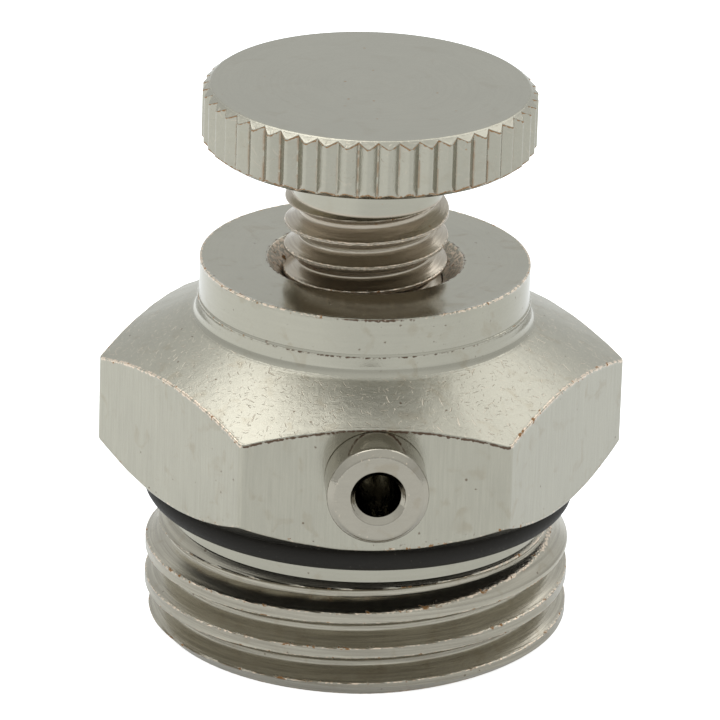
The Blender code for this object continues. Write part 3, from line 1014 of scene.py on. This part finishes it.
    def pipe_thread_rings(self, angles: np.ndarray) -> list[Ring]:
        """Build the tail's thread from the neck down to the chamfer at its end."""
        crest = self.pipe_thread.crest
        rings = []
        for height in np.linspace(-self.neck_height - 0.03, -self.tail + 0.06, self.pipe_rings):
            below_neck = max(0.0, -self.neck_height - height)
            chamfer = crest - self.tail_edge + height + self.tail
            outline = soft_min(self.neck + below_neck, crest, self.thread_blend)
            outline = soft_min(outline, chamfer, self.thread_blend)
            rings.append(self.pipe_thread.cut(angles, height, outline))
        return rings

    def waterway_rings(self, angles: np.ndarray) -> list[Ring]:
        """Build the tail's face, the hollow, the seat and the plain bore above it."""
        floor = self.seat_height - self.lip_height
        tip = floor - self.web
        shoulder = tip - (self.hollow_radius - self.orifice) * math.tan(self.drill_slope)
        lip = self.orifice + self.lip_width
        edge = self.pipe_thread.crest - self.tail_edge
        rim, above_rim = (
            np.minimum(self.pipe_thread.surface(angles, -self.tail + up), edge + up)
            for up in (0.0, self.rim_step)
        )
        corners = [
            Corner(above_rim, -self.tail + self.rim_step, worn=0.8),
            Corner(rim, -self.tail, 0.05, 0.8, 3),
            Corner(self.hollow_radius + self.hollow_edge, -self.tail, 0.05, 0.6, 3),
            Corner(self.hollow_radius, -self.tail + self.hollow_edge, 0.05, 0.2, 3),
            Corner(self.hollow_radius, shoulder, 0.10, 0.0, 3),
            Corner(self.orifice, tip, 0.05, 0.3, 3),
            Corner(self.orifice, self.seat_height, 0.05, 0.3, 3),
            Corner(lip, self.seat_height, 0.05, 0.2, 3),
            Corner(lip, floor, 0.05, 0.0, 3),
            Corner(self.bore, floor, 0.05, 0.0, 3),
            Corner(self.bore, self.screw_thread.fade_end - 0.1),
        ]
        return outline_rings(corners, angles, 2.0)

    def screw_thread_rings(self, angles: np.ndarray) -> list[Ring]:
        """Build the female thread from the port up to the countersunk mouth."""
        deep = np.arange(self.screw_thread.fade_end, self.deep_end, self.deep_step)
        near = np.linspace(self.near_from, self.collar_top - 0.05, self.near_rings)
        rings = []
        for height in np.concatenate([deep, near]):
            flare = self.mouth - (self.collar_top - height)
            ring = self.screw_thread.cut(angles, height, max(self.bore, flare))
            sunk = 1.0 if flare > self.bore else 0.0
            ring.masks["knocked"] = sunk
            ring.masks["arris"] = np.maximum(ring.masks["arris"], self.mouth_worn * sunk)
            rings.append(ring)
        return rings

    def build(self) -> bpy.types.Object:
        """Build the body's mesh as one closed skin, with the nozzle's socket cut into it.

        The inside has half as many columns as the outside.
        """
        fine = self.angles()
        coarse = fine[::2]
        skin = Skin()
        outside = skin.wrap(self.upper_rings(fine) + self.pipe_thread_rings(fine), fine)
        inside = skin.wrap(self.waterway_rings(coarse) + self.screw_thread_rings(coarse), coarse)
        skin.bridge(outside[-1], inside[0])
        skin.bridge(outside[0], inside[-1])
        piece = skin.to_object("body_shell")
        cut_hole(piece, self.socket_tool())
        return piece

    def socket_tool(self) -> bpy.types.Object:
        """Build the shape of the nozzle's socket and of the port behind it."""
        angles = np.linspace(0.0, TURN, self.socket_columns, endpoint=False)
        start = self.bore - self.socket_beyond
        end = self.across_flats / 2.0 + self.socket_beyond
        corners = [
            Corner(self.port, start),
            Corner(self.port, self.socket_floor),
            Corner(self.socket, self.socket_floor),
            Corner(self.socket, end),
        ]
        skin = Skin()
        numbers = skin.wrap(outline_rings(corners, angles, 9.0), angles)
        skin.fan(numbers[0], start)
        skin.fan(numbers[-1], end)
        return skin.to_object("socket_tool", forward_axis(0.0, self.nozzle_height))


@dataclass
class BleedScrew:
    """The bleed screw: knurled knob, shoulder, threaded spindle and nose."""

    knob: float = 8.0
    knob_top: float = field(default_factory=lambda: node_box("bleed_screw")[1].z)
    knob_thickness: float = 2.92
    knurl_count: int = 50
    knurl_start: float = math.radians(2.9)
    knurl_depth: float = 0.33
    knurl_land: float = 0.12
    knurl_seed: int = 11
    shortest_tooth: float = 0.86
    line_reach: float = 0.11
    line_share: float = 0.7
    rim_margin: float = 0.004
    bevel_margin: float = 0.01
    rim_knocked: float = 0.4
    bevel_knocked: float = 0.7
    edge_width: float = 0.40
    edge_height: float = 0.30
    shoulder: float = 3.6
    shoulder_height: float = 14.14
    nose: float = 2.9
    nose_tip: float = field(default_factory=lambda: node_box("bleed_screw")[0].z)
    nose_length: float = 4.0
    pocket: float = 2.4
    lip_hold: float = 0.4
    lip_thickness: float = 0.35
    pocket_depth: float = 1.3
    thread_blend: float = 0.06
    fine_step: float = 0.04
    fine_end: float = 8.8
    coarse_start: float = 8.75
    coarse_step: float = 0.09
    thread: Thread = field(
        default_factory=lambda: Thread(
            pitch=1.25,
            root=3.2,
            crest=3.935,
            root_width=0.261,
            half_angle=math.radians(30.0),
            groove_height=11.055,
            fade_end=14.14,
            rounding=0.05,
            crest_wear_and_highlight_reach=0.085,
        )
    )

    def knob_angles(self) -> np.ndarray:
        """Return the knob's columns: twelve for each tooth, where its shape bends."""
        tooth = TURN / self.knurl_count
        land = self.knurl_land / 2.0
        half = [land - 0.02, land + 0.02, land + 0.09, 0.30, 0.42, 0.48]
        offsets = np.array([-place for place in reversed(half)] + half)
        first = FRONT + self.knurl_start
        return np.concatenate(
            [first + tooth * (place + offsets) for place in range(self.knurl_count)]
        )

    def knurl(self, angles: np.ndarray) -> np.ndarray:
        """Return the radius of the knurled rim at each column, with slightly uneven teeth."""
        tooth = TURN / self.knurl_count
        place = (angles - FRONT - self.knurl_start) / tooth
        off = np.abs(place - np.round(place))
        dice = np.random.default_rng(self.knurl_seed)
        heights = dice.uniform(self.shortest_tooth, 1.0, self.knurl_count + 1)
        uneven = heights[np.floor(place + 0.5).astype(int)]
        land = self.knurl_land / 2.0
        share = np.clip((off - land) / (0.5 - land), 0.0, 1.0)
        return self.knob - self.knurl_depth * share * uneven

    def knob_rings(self, angles: np.ndarray) -> list[Ring]:
        """Build the knob from the middle of its top to the underside next to the shoulder."""
        rim = self.knurl(angles)
        flat = self.knob - self.edge_width
        bottom = self.knob_top - self.knob_thickness
        drop = (rim - flat) * self.edge_height / self.edge_width
        depth = np.clip((self.knob - rim) / self.knurl_depth, 0.0, 1.0)
        corners = [
            Corner(0.6, self.knob_top),
            Corner(flat, self.knob_top, 0.05, 0.12, 2),
            Corner(rim, self.knob_top - drop, 0.025, 0.25, 2, 1.0),
            Corner(rim, bottom + drop, 0.025, 0.4, 2, 0.9),
            Corner(flat, bottom, 0.04, 0.2, 2),
            Corner(self.shoulder + 0.4, bottom),
        ]
        rings = outline_rings(corners, angles, 1.2)
        for ring in rings:
            on_rim = np.abs(ring.radius - rim) < self.rim_margin
            ring.masks["hollow"] = np.where(on_rim, depth**2, 0.0)
            outside_flat = ring.radius > flat + self.bevel_margin
            on_bevel = outside_flat & (ring.height > self.knob_top - drop)
            bevel = self.bevel_knocked * on_bevel
            ring.masks["knocked"] = np.where(on_rim, self.rim_knocked, bevel)
            from_end = np.minimum(self.knob_top - drop - ring.height, ring.height - bottom - drop)
            line = np.where(on_rim, bell(from_end, self.line_reach), 0.0)
            ring.masks["seam"] = np.maximum(self.line_share * ring.masks["seam"], line)
        return rings

    def spindle_rings(self, angles: np.ndarray) -> list[Ring]:
        """Build the shoulder and the threaded spindle down to the nose."""
        bottom = self.knob_top - self.knob_thickness
        corners = [
            Corner(self.shoulder + 0.3, bottom),
            Corner(self.shoulder, bottom, 0.2, 0.0, 4),
            Corner(self.shoulder, self.shoulder_height + 0.12),
        ]
        rings = outline_rings(corners, angles, 0.8)
        start = self.nose_tip + self.nose_length
        fine = np.arange(self.shoulder_height + 0.08, self.fine_end, -self.fine_step)
        coarse = np.arange(self.coarse_start, start + 0.04, -self.coarse_step)
        for height in np.concatenate([fine, coarse]):
            crest = min(self.thread.crest, self.thread.root + height - start)
            below_shoulder = max(0.0, self.shoulder_height - height)
            neck = self.shoulder + below_shoulder / math.tan(self.thread.half_angle)
            outline = soft_min(crest, neck, self.thread_blend)
            rings.append(self.thread.cut(angles, height, outline))
        return rings

    def nose_rings(self, angles: np.ndarray) -> list[Ring]:
        """Build the nose with its lip and the pocket for the seal button."""
        start = self.nose_tip + self.nose_length
        lip_top = self.nose_tip + self.lip_thickness
        ceiling = lip_top + self.pocket_depth
        corners = [
            Corner(self.thread.root, start),
            Corner(self.nose, start, 0.05, 0.0, 2),
            Corner(self.nose, self.nose_tip, 0.10, 0.6, 3),
            Corner(self.pocket - self.lip_hold, self.nose_tip, 0.05, 0.5, 3),
            Corner(self.pocket, lip_top, 0.03, 0.0, 2),
            Corner(self.pocket, ceiling, 0.03, 0.0, 2),
            Corner(0.3, ceiling),
        ]
        return outline_rings(corners, angles, 1.0)

    def build(self) -> bpy.types.Object:
        """Build the screw's mesh as one closed skin."""
        fine = self.knob_angles()
        halved, coarse = fine[::2], fine[::4]
        skin = Skin()
        knob = skin.wrap(self.knob_rings(fine), fine)
        skin.fan(knob[0], self.knob_top)
        bottom = self.knob_top - self.knob_thickness
        between = skin.add_ring(Ring(self.shoulder + 0.35, bottom), halved)
        stem = skin.wrap(self.spindle_rings(coarse) + self.nose_rings(coarse), coarse)
        skin.bridge(knob[-1], between)
        skin.bridge(between, stem[0])
        skin.fan(stem[-1], self.nose_tip + self.lip_thickness + self.pocket_depth)
        return skin.to_object("screw_skin")


@dataclass
class OutletNozzle:
    """The short turned nozzle that is pressed into the front flat."""

    outer: float = 2.4
    reach: float = 2.4
    edge: float = 0.30
    bore: float = 1.05
    bore_start: float = 0.6
    mouth: float = 1.35
    spigot: float = 1.9
    spigot_length: float = 3.4
    spigot_edge: float = 0.25
    gap: float = 0.05
    flat: float = 11.0
    axis_height: float = 3.9
    columns: int = 160

    def build(self) -> bpy.types.Object:
        """Build the nozzle's mesh and point it out of the front."""
        angles = np.linspace(0.0, TURN, self.columns, endpoint=False)
        deep = -self.spigot_length
        corners = [
            Corner(self.bore, 0.0),
            Corner(self.bore, deep, 0.03, 0.0, 2),
            Corner(self.spigot - self.spigot_edge, deep, 0.03, 0.0, 2),
            Corner(self.spigot, deep + self.spigot_edge, 0.03, 0.0, 2),
            Corner(self.spigot, self.gap, 0.03, 0.0, 2),
            Corner(self.outer, self.gap, 0.07, 0.2, 3),
            Corner(self.outer, self.reach - self.edge, 0.09, 0.35, 4),
            Corner(self.outer - self.edge, self.reach, 0.09, 0.35, 4),
            Corner(self.mouth, self.reach, 0.06, 0.3, 4),
            Corner(self.bore, self.reach - self.mouth + self.bore, 0.04, 0.2, 3),
            Corner(self.bore, self.bore_start),
        ]
        skin = Skin()
        numbers = skin.wrap(outline_rings(corners, angles, 0.7), angles)
        skin.bridge(numbers[-1], numbers[0])
        return skin.to_object("nozzle_skin", forward_axis(-self.flat, self.axis_height))


@dataclass
class FlangeORing:
    """The O-ring on the neck, close under the hexagon."""

    section: float = 0.625
    neck: float = 9.15
    gap: float = 0.05
    steps: int = 28
    columns: int = 260
    slimmer: float = 0.014
    mould_seam: float = 0.012

    def build(self) -> bpy.types.Object:
        """Build the O-ring's mesh, with the fine seam that its mould leaves."""
        angles = np.linspace(0.0, TURN, self.columns, endpoint=False)
        centre = self.neck + self.gap + self.section
        rings = []
        for step in range(self.steps):
            turn = TURN * step / self.steps
            seam = self.mould_seam if step in (0, self.steps // 2) else 0.0
            radius = self.section - self.slimmer + seam
            height = -self.gap - self.section + radius * math.sin(turn)
            rings.append(Ring(centre + radius * math.cos(turn), height))
        skin = Skin()
        numbers = skin.wrap(rings, angles)
        skin.bridge(numbers[-1], numbers[0])
        return skin.to_object("o_ring_skin")


@dataclass
class SoftBox:
    """One studio lamp with a square diffuser."""

    name: str
    azimuth: float
    elevation: float
    distance: float
    size: float
    power: float

    def build(self, target: Vector) -> None:
        """Hang the lamp and aim it at a point, in metres."""
        lamp = bpy.data.lights.new(self.name, "AREA")
        lamp.shape = "SQUARE"
        lamp.size = self.size
        lamp.energy = self.power
        a, e = math.radians(self.azimuth), math.radians(self.elevation)
        away = Vector((math.sin(a) * math.cos(e), -math.cos(a) * math.cos(e), math.sin(e)))
        item = add_object(self.name, lamp)
        item.location = target + away * self.distance
        item.rotation_euler = (-away).to_track_quat("-Z", "Y").to_euler()


@dataclass
class Studio:
    """The pale floor, the soft light and the camera of the photograph."""

    target: tuple[float, float, float] = (-0.0980, 0.0071, 5.4156)
    distance: float = 350.0
    elevation: float = 0.385981
    turn: float = math.radians(4.16)
    roll: float = 0.0323654
    focal_pixels: float = 7256.54
    picture_pixels: int = 720
    sensor: float = 36.0
    floor_size: float = 4.0
    floor_colour: Colour = (0.73, 0.745, 0.755)
    floor_roughness: float = 0.9
    camera_glow: float = 0.84
    reflected_glow: float = 0.24
    left_glow: float = 0.15
    glow_from: float = 0.006
    glow_to: float = 0.035
    room_colour: Colour = (0.97, 1.0, 1.0)
    wall_level: float = 0.83
    ceiling_level: float = 1.0
    ceiling_ramp: Span = (0.30, 0.80)
    lamp_target: tuple[float, float, float] = (0.0, 0.0, 0.006)

    def build_camera(self) -> None:
        """Place the camera where the photograph was taken from."""
        e, t = self.elevation, self.turn
        back = Vector((-math.sin(t) * math.cos(e), -math.cos(t) * math.cos(e), math.sin(e)))
        right = (-back).cross(Vector((0.0, 0.0, 1.0))).normalized()
        up = right.cross(-back)
        right_leaning = right * math.cos(self.roll) + up * math.sin(self.roll)
        up_leaning = up * math.cos(self.roll) - right * math.sin(self.roll)
        camera = bpy.data.cameras.new("camera")
        camera.sensor_fit = "HORIZONTAL"
        camera.sensor_width = self.sensor
        camera.lens = self.sensor * self.focal_pixels / self.picture_pixels
        camera.clip_start = 0.01
        camera.clip_end = 20.0
        item = add_object("camera", camera)
        turned = Matrix((right_leaning, up_leaning, back)).transposed()
        place = (Vector(self.target) + back * self.distance) * MM
        item.matrix_world = Matrix.Translation(place) @ turned.to_4x4()
        bpy.context.scene.camera = item

    def build_floor(self) -> None:
        """Lay the floor under the valve's tail."""
        builder = bmesh.new()
        low = node_box("valve_body")[0].z * MM
        half = self.floor_size / 2.0
        corners = [(-half, -half), (half, -half), (half, half), (-half, half)]
        builder.faces.new([builder.verts.new((x, y, low)) for x, y in corners])
        mesh = bpy.data.meshes.new("floor")
        builder.to_mesh(mesh)
        builder.free()
        floor = add_object("floor", mesh)
        mesh.materials.append(self.floor_material())

    def floor_material(self) -> bpy.types.Material:
        """Build the floor's paper: pale, and brighter where the camera or metal sees it."""
        material, shader, graph = new_material("pale_paper")
        shader.inputs["Base Color"].default_value = (*self.floor_colour, 1.0)
        shader.inputs["Roughness"].default_value = self.floor_roughness
        shader.inputs["Specular IOR Level"].default_value = 0.0
        path = graph.node("ShaderNodeLightPath").outputs
        reflected = graph.maths("MAXIMUM", path["Is Glossy Ray"], path["Is Transmission Ray"])
        across = graph.split(graph.node("ShaderNodeTexCoord").outputs["Object"])[0]
        # The floor left of the valve glows more for glossy rays only: a painted light patch that
        # shows in the metal's reflections.
        left = graph.step(across, -self.glow_from, -self.glow_to)
        mirrored = graph.times(reflected, graph.linear(left, self.left_glow, self.reflected_glow))
        level = graph.linear(path["Is Camera Ray"], self.camera_glow, mirrored)
        glow = graph.node("ShaderNodeEmission", {"Strength": level})
        feeds = {0: shader.outputs[0], 1: glow.outputs[0]}
        total = graph.node("ShaderNodeAddShader", feeds).outputs[0]
        graph.feed(material.node_tree.nodes["Material Output"].inputs["Surface"], total)
        return material

    def build_room(self) -> None:
        """Fill the room with plain light, a little weaker from the walls than from above."""
        world = bpy.data.worlds.new("room")
        bpy.context.scene.world = world
        world.use_nodes = True
        graph = Graph(world.node_tree)
        height = graph.split(graph.node("ShaderNodeTexCoord").outputs["Generated"])[2]
        rise = graph.step(height, *self.ceiling_ramp)
        level = graph.between(rise, self.wall_level, self.ceiling_level)
        seen = graph.node("ShaderNodeLightPath").outputs["Is Camera Ray"]
        background = world.node_tree.nodes["Background"]
        background.inputs["Color"].default_value = (*self.room_colour, 1.0)
        white = 1.0 / min(self.room_colour)
        graph.feed(background.inputs["Strength"], graph.between(seen, level, white))

    def build_lamps(self) -> None:
        """Hang the lamps behind and above the valve."""
        for lamp in (
            SoftBox("rear_left", -145.0, 67.0, 0.42, 0.26, 0.46),
            SoftBox("rear_right", 134.0, 50.0, 0.42, 0.27, 0.25),
        ):
            lamp.build(Vector(self.lamp_target))

    def build(self) -> None:
        """Build the whole studio."""
        self.build_camera()
        self.build_floor()
        self.build_room()
        self.build_lamps()
        bpy.context.scene.view_settings.view_transform = "Standard"


def dress(
    piece: bpy.types.Object, material: bpy.types.Material, body: str, node: str
) -> None:
    """Give a piece its finish and hand it to the frame.

    Args:
        piece: The finished piece.
        material: Its material.
        body: The moving body that carries it.
        node: The solid that it stands for.
    """
    piece.data.materials.clear()
    piece.data.materials.append(material)
    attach(piece, body)
    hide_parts(node)
    LOG.info("%s: %d faces for %s", piece.name, len(piece.data.polygons), node)


def main() -> None:
    """Build the studio and every piece."""
    logging.basicConfig(level=logging.INFO, format="%(name)s: %(message)s")
    Studio().build()
    effects = Effects()
    body_metal = PlatedMetal("satin_nickel_body").material(effects)
    screw_metal = PlatedMetal(
        "satin_nickel_screw",
        dirt_and_shade_colour=(0.30, 0.165, 0.075),
        brushing_depth=0.0000009,
        thread_tint=0.35,
        stains=0.12,
        speck_amount=0.010,
        edge_brown=0.35,
        grime=0.85,
        grime_from=0.55,
    ).material(effects)
    nozzle_metal = PlatedMetal(
        "bright_nickel_nozzle",
        colour=(0.345, 0.320, 0.268),
        roughness=0.11,
        speck_amount=0.003,
        edge_brown=0.1,
    ).material(effects)
    rubber = BlackRubber("black_rubber").material(effects)
    dress(ValveBody().build(), body_metal, "body", "valve_body")
    dress(BleedScrew().build(), screw_metal, "screw", "bleed_screw")
    dress(OutletNozzle().build(), nozzle_metal, "body", "outlet_nozzle")
    dress(FlangeORing().build(), rubber, "body", "flange_o_ring")
    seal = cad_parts["seal_button"]
    seal.data.materials.clear()
    seal.data.materials.append(rubber)
    LOG.info("seal_button: the solid itself, in black rubber")


if __name__ == "__main__":
    main()
